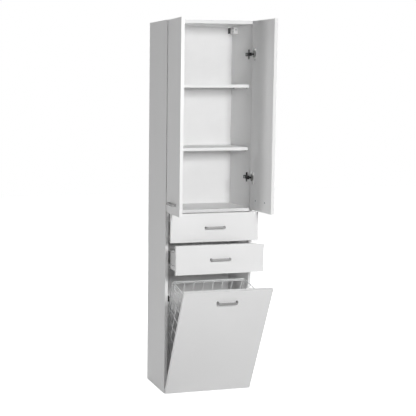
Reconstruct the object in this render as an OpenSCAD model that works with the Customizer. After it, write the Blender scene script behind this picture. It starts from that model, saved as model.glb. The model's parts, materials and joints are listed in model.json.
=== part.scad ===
// Bathroom storage tower: two doors over three shelf spaces, two drawers, and a
// tilt-out laundry hamper with a wire basket. It is drawn as it stands, half open.
// Origin: centre of the carcass footprint on the floor. +X right, +Y back, +Z up.

/* [Carcass] */
// Width over the two side panels
width = 450; // [400:5:600]
// Height of the side panels
height = 1820; // [1760:5:1980]
// Depth of the carcass without its fronts
depth = 270; // [265:5:330]
// Thickness of the coated chipboard
board = 16; // [15:0.5:18]
// Thickness of the hardboard back
back_t = 3; // [2.5:0.5:4]
// From the rear edge of the sides to the back panel
back_inset = 14; // [10:1:16]
// Depth of the groove that holds the back panel
groove = 6; // [4:0.5:8]

/* [Fronts] */
// Height of the doors
door_h = 915; // [860:5:920]
// Height of each drawer front
drawer_front_h = 140; // [135:1:150]
// Gap between two fronts
front_gap = 3; // [2:0.5:4]
// From the outer side of the carcass to the edge of a front
side_reveal = 2; // [1.5:0.5:3]
// From the top of the carcass to the doors
top_reveal = 2; // [1:0.5:4]
// From the floor to the hamper front
base_gap = 4; // [3:0.5:5]
// Gap behind the closed fronts
front_seam = 2; // [1.8:0.1:2.5]

/* [Shelves] */
// Clear height between the fixed shelf and the lower loose shelf
lower_space = 283; // [240:1:300]
// Clear height between the two loose shelves
middle_space = 290; // [240:1:300]
// From the carcass front to the loose shelves
shelf_setback = 25; // [15:1:40]
// Play at each end of a loose shelf
shelf_play = 1; // [0.5:0.1:2]
// From the carcass front to the first row of pins
pin_front = 50; // [45:1:70]
// From the back panel to the second row of pins
pin_back = 37; // [30:1:60]
// Step between the pin holes
hole_step = 32; // [25:1:40]
// Radius of a shelf pin
pin_r = 2.5; // [2:0.25:3]

/* [Door hinges] */
// From the end of a door to the middle of its hinge
hinge_from_end = 158; // [120:1:180]
// From the side of the hamper front to the middle of its hinge
hamper_hinge_in = 90; // [70:1:120]
// From the hinge side of a front to the turning axis
axis_in = 6; // [5:0.5:6]
// From the inner face of a front to the turning axis
axis_deep = 10; // [9.6:0.1:10.4]
// From the hinge side of a front to the cup
cup_edge = 5; // [4:0.5:6]
// Diameter of the hinge cup
cup_d = 35; // [33:0.5:36]
// Depth of the hinge cup
cup_deep = 12; // [11.5:0.5:13]
// From the carcass front to the screws of a mounting plate
system_line = 37; // [32:1:40]
// How far the doors stand open
door_open = 93.4; // [0:0.1:105]

/* [Handles] */
// Distance between the two screws of a handle
handle_pitch = 96; // [64:1:128]
// Height of a handle above the front
handle_proud = 20; // [17:0.5:28]
// Height of the handle bar
handle_tall = 11; // [9:0.5:14]
// Thickness of the handle bar
handle_thick = 6; // [5:0.5:7]
// From the lower edge of a door to its handle
door_handle_up = 49; // [40:1:80]
// From the upper edge of the hamper front to its handle
hamper_handle_down = 61; // [50:1:90]

/* [Drawers] */
// Height of the steel drawer sides
side_h = 86; // [80:1:95]
// From the lower edge of a drawer front to its sides
side_up = 4; // [3:0.5:8]
// Space between a drawer side and the carcass
runner_gap = 12.5; // [12:0.1:13.5]
// Length of the drawer sides and of the runners
runner_len = 240; // [215:1:240]
// Thickness of the drawer side steel
side_t = 1.5; // [1.2:0.1:2]
// Thickness of the runner steel
runner_t = 1.2; // [1:0.1:1.5]
// Radius of the nylon rollers
roller_r = 9; // [8:0.25:9.5]
// How far the upper drawer stands open
upper_out = 58; // [0:1:170]
// How far the lower drawer stands open
lower_out = 135; // [0:1:170]

/* [Hamper] */
// How far the hamper leans out against its stops
tilt = 25; // [22:0.5:28]
// Thickness of the basket wires
wire = 4; // [3:0.5:5]
// Thickness of the basket rim
rim_wire = 6; // [5:0.5:7]
// From the carcass wall to the middle of the basket's outer wires
basket_play = 19; // [16:0.5:26]
// From the carcass front to the back of the basket
basket_deep = 225; // [200:1:228]
// Height of the basket floor
basket_low = 61; // [55:1:75]
// From the top of the hamper front down to the rim
rim_drop = 55; // [45:1:60]
// How much lower the rim is at the back
rim_fall = 53; // [30:1:70]
// Step between the level wires
level_step = 62; // [50:1:80]
// Step between the upright wires
upright_step = 50; // [40:1:60]

/* [Hidden] */

// Smoothness of the round faces
$fn = 32;

white = "#f2f2f0";
off_white = "#e4e4e0";
steel = "#b9bbbd";
black = "#1d1d1f";
beech = "#d9b98a";

// Overshoot of a cut past the face that it opens
cut = 1;
// Gap between pieces that rest on each other or pass each other closely
seat = 0.3;
// Radial play of a pin, a roller or a fitting in its bore
running = 0.05;
// Play of a piece that is let into another
let_in = 0.2;

// Carcass, worked out
half_w = width / 2;
inner = half_w - board;
front_y = -depth / 2;
rear_y = depth / 2;
back_face = rear_y - back_inset - back_t;
underside = height - board;

// Fronts, worked out from the top down
fronts_half = half_w - side_reveal;
front_face = front_y - front_seam;
door_w = fronts_half - front_gap / 2;
door_top = height - top_reveal;
door_low = door_top - door_h;
upper_low = door_low - front_gap - drawer_front_h;
lower_low = upper_low - front_gap - drawer_front_h;
hamper_top = lower_low - front_gap;
// The fixed shelf reaches this far above the lower edge of the doors
shelf_lap = 7;
fixed_top = door_low + shelf_lap;
shelf_lower_z = fixed_top + lower_space;
shelf_upper_z = shelf_lower_z + board + middle_space;

// Shelf pins
pin_depth = 8;
pin_spoon = 8;
spoon_half = 3;
pin_ys = [front_y + pin_front, back_face - pin_back];

// Concealed hinges. A hinge is drawn with x inward from the outer side of the carcass,
// y back from the carcass front and z along its turning axis.
axis_x = side_reveal + axis_in;
axis_y = -(front_seam + axis_deep);
cup_x = side_reveal + cup_edge + cup_d / 2;
cup_wall = 1;
flange_t = 1;
flange_out = 1;
ear_half = 31;
ear_w = 18;
// The ears lie this much further in than the middle of the cup
ear_in = 5.5;
wing_half = 24;
wing_w = 12;
wing_t = 2.5;
arm_t = 1.2;
arm_half = 8;
arm_rear_rise = 12;
arm_front_rise = 18;
arm_tail = 16;
arm_chamfer = 2.5;
plate_short = 1;
arm_rear_x = board + arm_rear_rise;
arm_front_x = board + arm_front_rise;
arm_low_x = board + wing_t + seat;
arm_end_y = system_line + arm_tail;
arm_bend_y = 12;
arm_ramp = 10;
link_in = 16.5;
link_back = 2.5;
link_x = axis_x + link_in;
link_y = axis_y + link_back;
nose_r = 2.7;
eye_r = 2.2;
link_pin_r = 1.5;
link_half = 4;
link_t = 1.6;
link_len = 13.5;
// Direction of the link at the closed door, and its share of the turn of the door
link_shut = 170;
link_share = 0.6;
hinge_zs = [door_low + hinge_from_end, door_top - hinge_from_end];
hinge_xs = [-fronts_half + hamper_hinge_in, fronts_half - hamper_hinge_in];
// The hamper hinges sit this much deeper than the door hinges
hamper_lift = base_gap - side_reveal;

// Handles
handle_foot = 4.5;
handle_grip = 9;
handle_slant = 3;
handle_curve = 7;
screw_r = 2;
screw_hole_r = 2.5;
head_r = 4;
head_t = 1.6;

// Drawers, from the wall inward
box_out = inner - runner_gap;
box_in = box_out - side_t;
hem_w = 4.5;
hem_h = 7;
flange_w = 13;
track_w = 9.5;
runner_up = 4;
runner_h = 30;
runner_lip = 10.5;
runner_start = 3;
roller_w = 6;
roller_play = 0.5;
axle_r = 2.5;
axle_head_r = 4;
axle_head_t = 0.8;
track_z = 2 * roller_r + 2 * seat;
side_back_y = front_face + runner_len;
front_axle_y = front_y + runner_start + roller_r;
rear_axle_y = side_back_y - roller_r - 1;
tab_w = 18;
tab_up = 26;
back_drop = 8;

// Hamper and basket, drawn closed and then leaned out
hamper_axis_y = front_y + axis_y;
hamper_axis_z = base_gap + axis_in;
basket_half = inner - basket_play;
basket_back_y = front_y + basket_deep;
basket_front_y = front_y + 1;
rim_high = hamper_top - rim_drop;
rim_low = rim_high - rim_fall;
// The uprights are welded to the inner side of the level wires, this deep
weld = 0.3;
up_half = basket_half - wire + weld;
up_back_y = basket_back_y - wire + weld;
up_front_y = basket_front_y + wire - weld;
rim_slope = atan2(rim_fall, up_back_y - up_front_y);
level_count = floor((rim_low - rim_wire - basket_low) / level_step);
level_zs = [for (k = [0 : level_count]) basket_low + k * level_step];
across_count = floor((basket_half - upright_step / 2 - 2 * wire) / upright_step);
across_xs = [for (side = [-1, 1], k = [0 : across_count]) side * (k + 0.5) * upright_step];
along_count = floor((basket_deep - 4 * wire) / upright_step);
along_ys = [for (k = [1 : along_count]) basket_back_y - k * upright_step];
corner_half = basket_half - wire;
clip_x = 2.75 * upright_step;
clip_w = upright_step / 2 - wire - 1;
clip_t = 2.5;
corner = 180 / 8;

// The stop pins meet the stops when the hamper leans out fully. They sit as high as the
// rim leaves room, and no higher than where the stops would come out of the carcass.
stop_pin_r = 2.5;
stop_pin_len = 14;
stop_thick = 9.5;
stop_inset = 4;
stop_deep = 22;
stop_tall = 29;
stop_over = 13;
pin_below_rim = 20;
pin_front_y = front_y + stop_inset + stop_deep + seat + stop_pin_r;
pin_arm_y = up_back_y - hamper_axis_y;
pin_high_z = min(
    hamper_axis_z + (pin_arm_y * cos(tilt) + hamper_axis_y - pin_front_y) / sin(tilt),
    rim_low - rim_wire - pin_below_rim);
pin_closed_z = clear_of_levels(pin_high_z);
pin_arm_z = pin_closed_z - hamper_axis_z;
pin_open_y = hamper_axis_y + pin_arm_y * cos(tilt) - pin_arm_z * sin(tilt);
stop_front = pin_open_y - stop_pin_r - seat - stop_deep;
pin_open_z = hamper_axis_z + pin_arm_y * sin(tilt) + pin_arm_z * cos(tilt);

// Hangers at the top rear corners
hanger_thick = 21;
hanger_deep = 45;
hanger_back = 25;
hanger_front_y = back_face - hanger_back - hanger_deep;
hanger_tall = 36;
hanger_gap = 1;
hook_t = 2;
hook_in = 18;
hook_tall = 30;
hook_grip = 12;
hook_inset = 3;
hook_end_y = rear_y - hook_inset;
hook_notch = 4;
notch_half = 6;
notch_tall = 36;

// Fittings in the board ends
dowel_r = 4;
dowel_len = 30;
dowel_in = 12;
dowel_from_edge = 82;
dowel_ys = [front_y + dowel_from_edge, rear_y - dowel_from_edge];
cam_r = 7.5;
cam_tall = 12;
cam_in = 34;
bolt_r = 3;
bolt_in = 11;
cam_from_edge = 50;
cam_ys = [front_y + cam_from_edge, rear_y - cam_from_edge];
joint_zs = [board / 2, fixed_top - board / 2, height - board / 2];

function rim_z(y) = rim_low + (up_back_y - y) * tan(rim_slope);
function under_rim(y) = rim_z(y) - rim_wire / 2 / cos(rim_slope)
    - wire / 2 * tan(rim_slope) - seat / 3;

// A height, moved to just below the nearest level wire if a pin there would touch the wire
function clear_of_levels(z) =
    let (
        nearest = basket_low + round((z - basket_low) / level_step) * level_step,
        apart = wire / 2 + stop_pin_r + seat
    )
    abs(z - nearest) < apart ? nearest - apart : z;

// A box between two corners
module slab(low, high) {
    translate(low) cube(high - low);
}

// A copy on the left as drawn, and one on the right
module both_sides() {
    children();
    mirror([1, 0, 0]) children();
}

// The left side as drawn, or its mirror image for the right side
module on_side(side) {
    mirror([side > 0 ? 1 : 0, 0, 0]) children();
}

// A round bar along X from one x to another
module bar_x(from_x, to_x, y, z, r) {
    translate([from_x, y, z]) rotate([0, 90, 0]) cylinder(r = r, h = to_x - from_x);
}

// An eight-sided wire between two points, with flats up, down and to the sides
module rod(from, to, d) {
    span = to - from;
    level = norm([span[0], span[1]]);
    translate(from)
        rotate([0, atan2(level, span[2]), atan2(span[1], span[0])])
        rotate([0, 0, corner])
        cylinder(d = d / cos(corner), h = norm(span), $fn = 8);
}

// Carcass

// What the fittings of one side cut or fill, with some play
module dowel_set(play) {
    for (z = joint_zs, y = dowel_ys)
        bar_x(-inner - dowel_in - play, -inner - dowel_in + dowel_len + play, y, z,
            dowel_r + play);
}

module bolt_set(play) {
    for (z = joint_zs, y = cam_ys)
        bar_x(-inner - bolt_in - play, -inner + cam_in - cam_r - seat / 3, y, z,
            bolt_r + play);
}

module cam_set(play) {
    for (z = joint_zs, y = cam_ys)
        translate([-inner + cam_in, y, z - board / 2 - (play > 0 ? cut : 0)])
            cylinder(r = cam_r + play, h = cam_tall + (play > 0 ? cut + play : 0));
}

module side_panel() {
    difference() {
        slab([-half_w, front_y, 0], [-inner, rear_y, height]);
        slab([-inner - groove, back_face - let_in / 2, -cut],
            [-inner + cut, back_face + back_t + let_in / 2, height + cut]);
        for (z = [shelf_lower_z, shelf_upper_z], y = pin_ys, k = [-1 : 1])
            bar_x(-inner - pin_depth - let_in, -inner + cut, y, z - pin_r + k * hole_step,
                pin_r + running);
        dowel_set(running);
        bolt_set(running);
    }
}

module level_board(low, back_y) {
    difference() {
        slab([-inner, front_y, low], [inner, back_y, low + board]);
        both_sides() {
            dowel_set(running);
            bolt_set(running);
            cam_set(running);
        }
    }
}

module side_left() {
    color(white) side_panel();
}

module side_right() {
    color(white) on_side(1) side_panel();
}

module back_groove(low) {
    slab([-inner - cut, back_face - let_in / 2, low],
        [inner + cut, back_face + back_t + let_in / 2, low + groove + cut]);
}

module top_panel() {
    color(white) difference() {
        level_board(underside, rear_y);
        back_groove(underside - cut);
    }
}

module fixed_shelf() {
    color(white) level_board(fixed_top - board, back_face);
}

module bottom_panel() {
    color(white) difference() {
        level_board(0, rear_y);
        back_groove(board - groove);
    }
}

module back_panel() {
    back_half = inner + groove - let_in;
    color(white) difference() {
        slab([-back_half, back_face, board - groove + let_in],
            [back_half, back_face + back_t, underside + groove - let_in]);
        both_sides()
            slab([-inner + hook_in - notch_half, back_face - cut, underside - hanger_gap - notch_tall],
                [-inner + hook_in + notch_half, back_face + back_t + cut, underside - hanger_gap]);
    }
}

module loose_shelf(z) {
    color(white) slab([-inner + shelf_play, front_y + shelf_setback, z],
        [inner - shelf_play, back_face - shelf_play, z + board]);
}

module shelf_upper() {
    loose_shelf(shelf_upper_z);
}

module shelf_lower() {
    loose_shelf(shelf_lower_z);
}

// A pin in its hole, with a flat top that carries the shelf
module shelf_pin(y, z) {
    bar_x(-inner - pin_depth, -inner + pin_spoon, y, z - pin_r, pin_r);
    slab([-inner, y - spoon_half, z - pin_r], [-inner + pin_spoon, y + spoon_half, z]);
}

module shelf_pins() {
    color(steel) both_sides()
        for (z = [shelf_lower_z, shelf_upper_z], y = pin_ys) shelf_pin(y, z);
}

module dowels() {
    color(beech) both_sides() dowel_set(0);
}

module cam_fittings() {
    color(steel) both_sides() {
        bolt_set(0);
        cam_set(0);
    }
}

// Hangers: a housing on each side wall, and a hook through the back panel

module hook_outline(play) {
    top = underside - hanger_gap - (hanger_tall - hook_tall) / 2 + play;
    low = top - hook_tall - 2 * play;
    polygon([
        [hanger_front_y + hanger_deep - hook_grip - play, low],
        [hook_end_y - 2 * hook_notch, low],
        [hook_end_y - 2 * hook_notch, low + hook_tall / 2],
        [hook_end_y - hook_notch, low + hook_tall / 2],
        [hook_end_y - hook_notch, low],
        [hook_end_y, low],
        [hook_end_y, top],
        [hanger_front_y + hanger_deep - hook_grip - play, top]
    ]);
}

module hanger_hook(play) {
    translate([-inner + hook_in - hook_t / 2 - play, 0, 0])
        rotate([90, 0, 90]) linear_extrude(hook_t + 2 * play) hook_outline(play);
}

module cabinet_hangers() {
    color(off_white) both_sides() difference() {
        slab([-inner, hanger_front_y, underside - hanger_gap - hanger_tall],
            [-inner + hanger_thick, hanger_front_y + hanger_deep, underside - hanger_gap]);
        hanger_hook(let_in / 2);
    }
}

module hanger_hooks() {
    color(black) both_sides() hanger_hook(0);
}

// Concealed hinges

// The places of the two hinges of a door, and of the two on the bottom panel
module at_door_hinges(side) {
    on_side(side) for (z = hinge_zs) translate([-half_w, front_y, z]) children();
}

module at_hamper_hinges() {
    for (x = hinge_xs) translate([x, front_y, 0]) rotate([0, -90, 0]) children();
}

module hinge_plate(lift) {
    slab([board, system_line - wing_w / 2, -wing_half],
        [board + wing_t, system_line + wing_w / 2, wing_half]);
    slab([board, arm_bend_y + arm_ramp, -arm_half + arm_t + seat],
        [arm_rear_x - arm_t + lift, arm_end_y - plate_short, arm_half - arm_t - seat]);
}

// The arm's side outline, from the nose that holds the link back to its end
module arm_outline() {
    polygon([
        [link_x - nose_r, link_y],
        [link_x - 0.7 * nose_r, link_y - 0.7 * nose_r],
        [link_x, link_y - nose_r],
        [link_x + nose_r, link_y - 0.8 * nose_r],
        [arm_front_x - arm_chamfer, link_y + nose_r],
        [arm_front_x, 0],
        [arm_front_x, arm_bend_y],
        [arm_rear_x, arm_bend_y + arm_ramp],
        [arm_rear_x, arm_end_y],
        [arm_low_x, arm_end_y],
        [arm_low_x, -seat]
    ]);
}

// A channel over the plate, with a bore through both cheeks for the link's pin
module hinge_arm(lift) {
    translate([lift, 0, 0]) difference() {
        translate([0, 0, -arm_half]) linear_extrude(2 * arm_half) arm_outline();
        translate([-arm_t, 0, -arm_half + arm_t])
            linear_extrude(2 * (arm_half - arm_t)) arm_outline();
        slab([arm_low_x - cut, arm_end_y - cut, -arm_half + arm_t],
            [arm_rear_x - arm_t, arm_end_y + cut, arm_half - arm_t]);
        translate([link_x, link_y, -arm_half - cut])
            cylinder(r = link_pin_r + running, h = 2 * (arm_half + cut));
    }
}

// The link turns about its pin in the arm's nose and reaches into the cup
module hinge_link(lift, turn) {
    reach = arm_half - arm_t - seat;
    translate([link_x + lift, link_y, 0]) rotate([0, 0, turn]) {
        translate([0, 0, -reach]) cylinder(r = eye_r, h = 2 * reach);
        translate([0, 0, -arm_half]) cylinder(r = link_pin_r, h = 2 * arm_half);
        slab([0, -link_t / 2, -link_half], [link_len, link_t / 2, link_half]);
    }
}

// The cup, let into the inner face of the closed front
module hinge_cup(lift) {
    translate([cup_x + lift, -front_seam, 0]) rotate([90, 0, 0]) difference() {
        union() {
            cylinder(d = cup_d, h = cup_deep);
            translate([0, 0, -flange_t]) cylinder(d = cup_d + 2 * flange_out, h = flange_t);
            slab([ear_in - ear_w / 2, -ear_half, -flange_t],
                [ear_in + ear_w / 2, ear_half, 0]);
        }
        translate([0, 0, -flange_t - cut])
            cylinder(d = cup_d - 2 * cup_wall, h = cup_deep - cup_wall + flange_t + cut);
    }
}

// The bore that takes the cup
module cup_bore(lift) {
    translate([cup_x + lift, -front_seam + cut, 0]) rotate([90, 0, 0])
        cylinder(r = cup_d / 2 + running, h = cup_deep + cut + let_in);
}

module hinge_plates() {
    color(black) {
        at_door_hinges(-1) hinge_plate(0);
        at_door_hinges(1) hinge_plate(0);
        at_hamper_hinges() hinge_plate(hamper_lift);
    }
}

module hinge_arms() {
    color(black) {
        at_door_hinges(-1) hinge_arm(0);
        at_door_hinges(1) hinge_arm(0);
        at_hamper_hinges() hinge_arm(hamper_lift);
    }
}

// Handles and their screws, drawn on a front whose outer face is at y = 0

module bow_outline() {
    end = handle_pitch / 2;
    inside = handle_proud - handle_thick;
    outer = [
        [end + handle_foot, 0],
        [end + handle_foot - handle_slant, handle_curve - handle_proud],
        [end + handle_foot - handle_slant - handle_curve, -handle_proud]
    ];
    hollow = [
        [handle_foot - end, 0],
        [handle_foot - end, handle_slant - inside],
        [handle_foot - end + handle_slant, -inside],
        [end - handle_foot - handle_slant, -inside],
        [end - handle_foot, handle_slant - inside],
        [end - handle_foot, 0]
    ];
    polygon(concat(outer, [for (k = [2 : -1 : 0]) [-outer[k][0], outer[k][1]]], hollow));
}

module handle() {
    color(steel) difference() {
        translate([0, 0, -handle_tall / 2]) linear_extrude(handle_tall) bow_outline();
        for (x = [-1, 1] * handle_pitch / 2)
            translate([x, cut, 0]) rotate([90, 0, 0])
                cylinder(r = screw_r + running, h = handle_grip + cut);
    }
}

module handle_screws() {
    color(steel) for (x = [-1, 1] * handle_pitch / 2)
        translate([x, 0, 0]) rotate([90, 0, 0]) {
            translate([0, 0, -board]) cylinder(r = screw_r, h = board + handle_grip - seat);
            translate([0, 0, -board - head_t]) cylinder(r = head_r, h = head_t);
        }
}

module handle_holes() {
    for (x = [-1, 1] * handle_pitch / 2)
        translate([x, -cut, 0]) rotate([-90, 0, 0])
            cylinder(r = screw_hole_r, h = board + 2 * cut);
}

// A front with its handle holes
module front_board(from_x, to_x, low, high, handle_x, handle_z) {
    difference() {
        slab([from_x, front_face - board, low], [to_x, front_face, high]);
        translate([handle_x, front_face - board, handle_z]) handle_holes();
    }
}

// Doors, drawn closed on the left side

door_handle_x = -fronts_half + door_w / 2;
door_handle_z = door_low + door_handle_up;

module swung(side) {
    on_side(side) translate([-half_w + axis_x, front_y + axis_y, 0])
        rotate([0, 0, -door_open])
        translate([half_w - axis_x, -front_y - axis_y, 0]) children();
}

module door(side) {
    color(white) swung(side) difference() {
        front_board(-fronts_half, -fronts_half + door_w, door_low, door_top,
            door_handle_x, door_handle_z);
        at_door_hinges(-1) cup_bore(0);
    }
}

module door_cups(side) {
    color(steel) swung(side) at_door_hinges(-1) hinge_cup(0);
}

module door_links(side) {
    color(black) at_door_hinges(side) hinge_link(0, link_shut + link_share * door_open);
}

module at_door_handle(side) {
    swung(side) translate([door_handle_x, front_face - board, door_handle_z]) children();
}

module door_left() {
    door(-1);
}

module hinge_cups_left() {
    door_cups(-1);
}

module hinge_links_left() {
    door_links(-1);
}

module handle_left() {
    at_door_handle(-1) handle();
}

module handle_screws_left() {
    at_door_handle(-1) handle_screws();
}

module door_right() {
    door(1);
}

module hinge_cups_right() {
    door_cups(1);
}

module hinge_links_right() {
    door_links(1);
}

module handle_right() {
    at_door_handle(1) handle();
}

module handle_screws_right() {
    at_door_handle(1) handle_screws();
}

// Drawers, drawn closed on the left side. low is the lower edge of the drawer front.

function runner_z(low) = low + side_up + runner_up + runner_t;
function drawer_z(low) = low + side_up;

// A runner screwed to the side wall, with the axle of its front roller
module runner(low) {
    z = runner_z(low);
    y = front_y + runner_start;
    slab([-inner, y, z - runner_t], [-inner + runner_t, y + runner_len, z - runner_t + runner_h]);
    slab([-inner, y, z - runner_t], [-inner + runner_lip, y + runner_len, z]);
    bar_x(-inner + runner_t, -inner + runner_t + roller_w + 2 * roller_play, front_axle_y,
        z + roller_r + seat, axle_r);
    bar_x(-inner + runner_t + roller_w + 2 * roller_play,
        -inner + runner_t + roller_w + 2 * roller_play + axle_head_t,
        front_axle_y, z + roller_r + seat, axle_head_r);
}

module roller(x, y, z) {
    difference() {
        bar_x(x, x + roller_w, y, z + roller_r + seat, roller_r);
        bar_x(x - cut, x + roller_w + cut, y, z + roller_r + seat, axle_r + running);
    }
}

module runner_rollers(low) {
    color(off_white) both_sides()
        roller(-inner + runner_t + roller_play, front_axle_y, runner_z(low));
}

module drawer_rollers(low, out) {
    color(off_white) translate([0, -out, 0]) both_sides()
        roller(-box_out - roller_play - roller_w, rear_axle_y, runner_z(low));
}

// A steel side: wall, rolled top, flange under the base, track over the rollers,
// tab behind the front, and the axle of the rear roller
module drawer_side(side, low, out) {
    z = drawer_z(low);
    track = runner_z(low) + track_z;
    axle_z = runner_z(low) + roller_r + seat;
    head_x = -box_out - 2 * roller_play - roller_w;
    color(off_white) on_side(side) translate([0, -out, 0]) {
        slab([-box_out, front_face, z], [-box_in, side_back_y, z + side_h]);
        slab([-box_out, front_face, z + side_h - hem_h],
            [-box_out + hem_w, side_back_y, z + side_h]);
        slab([-box_out, front_face, z], [-box_out + flange_w, side_back_y, z + side_t]);
        slab([-box_out - track_w, front_y, track], [-box_out, side_back_y, track + side_t]);
        slab([-box_out, front_face, z + tab_up],
            [-box_out + tab_w, front_face + side_t, z + side_h]);
        bar_x(head_x, -box_out, rear_axle_y, axle_z, axle_r);
        bar_x(head_x - axle_head_t, head_x, rear_axle_y, axle_z, axle_head_r);
    }
}

module drawer_base(low, out) {
    z = drawer_z(low) + side_t;
    color(white) translate([0, -out, 0])
        slab([-box_in + let_in, front_face, z], [box_in - let_in, side_back_y, z + board]);
}

module drawer_back(low, out) {
    z = drawer_z(low) + side_t + board;
    color(white) translate([0, -out, 0])
        slab([-box_in + hem_w, side_back_y - board, z],
            [box_in - hem_w, side_back_y, drawer_z(low) + side_h - back_drop]);
}

module drawer_front(low, out) {
    color(white) translate([0, -out, 0])
        front_board(-fronts_half, fronts_half, low, low + drawer_front_h,
            0, low + drawer_front_h / 2);
}

module at_drawer_handle(low, out) {
    translate([0, front_face - board - out, low + drawer_front_h / 2]) children();
}

module runners_upper() {
    color(off_white) both_sides() runner(upper_low);
}

module runners_lower() {
    color(off_white) both_sides() runner(lower_low);
}

module runner_rollers_upper() {
    runner_rollers(upper_low);
}

module runner_rollers_lower() {
    runner_rollers(lower_low);
}

module drawer_rollers_upper() {
    drawer_rollers(upper_low, upper_out);
}

module drawer_rollers_lower() {
    drawer_rollers(lower_low, lower_out);
}

module drawer_front_upper() {
    drawer_front(upper_low, upper_out);
}

module drawer_front_lower() {
    drawer_front(lower_low, lower_out);
}

module drawer_side_upper_left() {
    drawer_side(-1, upper_low, upper_out);
}

module drawer_side_upper_right() {
    drawer_side(1, upper_low, upper_out);
}

module drawer_side_lower_left() {
    drawer_side(-1, lower_low, lower_out);
}

module drawer_side_lower_right() {
    drawer_side(1, lower_low, lower_out);
}

module drawer_base_upper() {
    drawer_base(upper_low, upper_out);
}

module drawer_base_lower() {
    drawer_base(lower_low, lower_out);
}

module drawer_back_upper() {
    drawer_back(upper_low, upper_out);
}

module drawer_back_lower() {
    drawer_back(lower_low, lower_out);
}

module handle_upper() {
    at_drawer_handle(upper_low, upper_out) handle();
}

module handle_screws_upper() {
    at_drawer_handle(upper_low, upper_out) handle_screws();
}

module handle_lower() {
    at_drawer_handle(lower_low, lower_out) handle();
}

module handle_screws_lower() {
    at_drawer_handle(lower_low, lower_out) handle_screws();
}

// Hamper: the front and its wire basket lean out about the bottom hinges

hamper_handle_z = hamper_top - hamper_handle_down;

module leaned() {
    translate([0, hamper_axis_y, hamper_axis_z]) rotate([tilt, 0, 0])
        translate([0, -hamper_axis_y, -hamper_axis_z]) children();
}

module hamper_front() {
    color(white) leaned() difference() {
        front_board(-fronts_half, fronts_half, base_gap, hamper_top, 0, hamper_handle_z);
        at_hamper_hinges() cup_bore(hamper_lift);
    }
}

module hinge_cups_hamper() {
    color(steel) leaned() at_hamper_hinges() hinge_cup(hamper_lift);
}

module hinge_links_hamper() {
    color(black) at_hamper_hinges() hinge_link(hamper_lift, link_shut + link_share * tilt);
}

module at_hamper_handle() {
    leaned() translate([0, front_face - board, hamper_handle_z]) children();
}

module handle_hamper() {
    at_hamper_handle() handle();
}

module handle_screws_hamper() {
    at_hamper_handle() handle_screws();
}

module basket_rim() {
    far = up_half + rim_wire / 2;
    color(steel) leaned() {
        rod([-far, up_front_y, rim_high], [far, up_front_y, rim_high], rim_wire);
        rod([-far, up_back_y, rim_low], [far, up_back_y, rim_low], rim_wire);
        for (x = [-up_half, up_half])
            rod([x, up_front_y, rim_high], [x, up_back_y, rim_low], rim_wire);
    }
}

// A flat grid across the basket: level wires, uprights inside them, and corner wires
module cross_grid(level_y, up_y) {
    far = basket_half + wire / 2;
    low = basket_low - wire / 2;
    color(steel) leaned() {
        for (z = level_zs) rod([-far, level_y, z], [far, level_y, z], wire);
        for (x = concat(across_xs, [-corner_half, corner_half]))
            rod([x, up_y, low], [x, up_y, under_rim(up_y)], wire);
    }
}

module basket_back() {
    cross_grid(basket_back_y, up_back_y);
}

module basket_front() {
    cross_grid(basket_front_y, up_front_y);
}

// A flat grid along one side of the basket
module side_grid(side) {
    from_y = basket_front_y + wire / 2;
    to_y = basket_back_y - wire / 2;
    low = basket_low - wire / 2;
    color(steel) leaned() {
        for (z = level_zs)
            rod([side * basket_half, from_y, z], [side * basket_half, to_y, z], wire);
        for (y = along_ys)
            rod([side * up_half, y, low], [side * up_half, y, under_rim(y)], wire);
    }
}

module basket_left() {
    side_grid(-1);
}

module basket_right() {
    side_grid(1);
}

// The floor wires run between the lowest level wires, with cross wires on top
module basket_floor() {
    from_y = basket_front_y + wire / 2;
    to_y = basket_back_y - wire / 2;
    color(steel) leaned() {
        for (k = [-across_count : across_count])
            rod([k * upright_step, from_y, basket_low], [k * upright_step, to_y, basket_low],
                wire);
        for (y = along_ys)
            rod([-corner_half, y + upright_step / 2, basket_low + wire - weld],
                [corner_half, y + upright_step / 2, basket_low + wire - weld], wire);
    }
}

// Clips on the front that hold the rim and the lowest front wire
module basket_clip(x, y, z, d) {
    half = d / 2 + clip_t;
    difference() {
        slab([x - clip_w / 2, front_face, z - half], [x + clip_w / 2, y + half, z + half]);
        bar_x(x - clip_w, x + clip_w, y, z, d / 2 / cos(corner) + running);
    }
}

module basket_clips() {
    color(off_white) leaned() for (x = [-clip_x, clip_x]) {
        basket_clip(x, up_front_y, rim_high, rim_wire);
        basket_clip(x, basket_front_y, basket_low, wire);
    }
}

// Pins on the rear corner wires, which meet the stops on the side walls
module stop_pins() {
    pin_x = -corner_half - wire / 2;
    color(steel) leaned() both_sides()
        bar_x(pin_x - stop_pin_len, pin_x, up_back_y, pin_closed_z, stop_pin_r);
}

module tilt_stops() {
    high = pin_open_z + stop_over;
    color(black) both_sides()
        slab([-inner, stop_front, high - stop_tall],
            [-inner + stop_thick, stop_front + stop_deep, high]);
}

side_left();
side_right();
top_panel();
fixed_shelf();
bottom_panel();
back_panel();
shelf_upper();
shelf_lower();
shelf_pins();
cabinet_hangers();
hanger_hooks();
dowels();
cam_fittings();
hinge_plates();
hinge_arms();
runners_upper();
runners_lower();
tilt_stops();
door_left();
handle_left();
handle_screws_left();
hinge_cups_left();
hinge_links_left();
door_right();
handle_right();
handle_screws_right();
hinge_cups_right();
hinge_links_right();
drawer_front_upper();
drawer_side_upper_left();
drawer_side_upper_right();
drawer_back_upper();
drawer_base_upper();
handle_upper();
handle_screws_upper();
drawer_front_lower();
drawer_side_lower_left();
drawer_side_lower_right();
drawer_back_lower();
drawer_base_lower();
handle_lower();
handle_screws_lower();
runner_rollers_upper();
drawer_rollers_upper();
runner_rollers_lower();
drawer_rollers_lower();
hamper_front();
handle_hamper();
handle_screws_hamper();
hinge_cups_hamper();
hinge_links_hamper();
basket_rim();
basket_back();
basket_front();
basket_left();
basket_right();
basket_floor();
basket_clips();
stop_pins();
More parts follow.
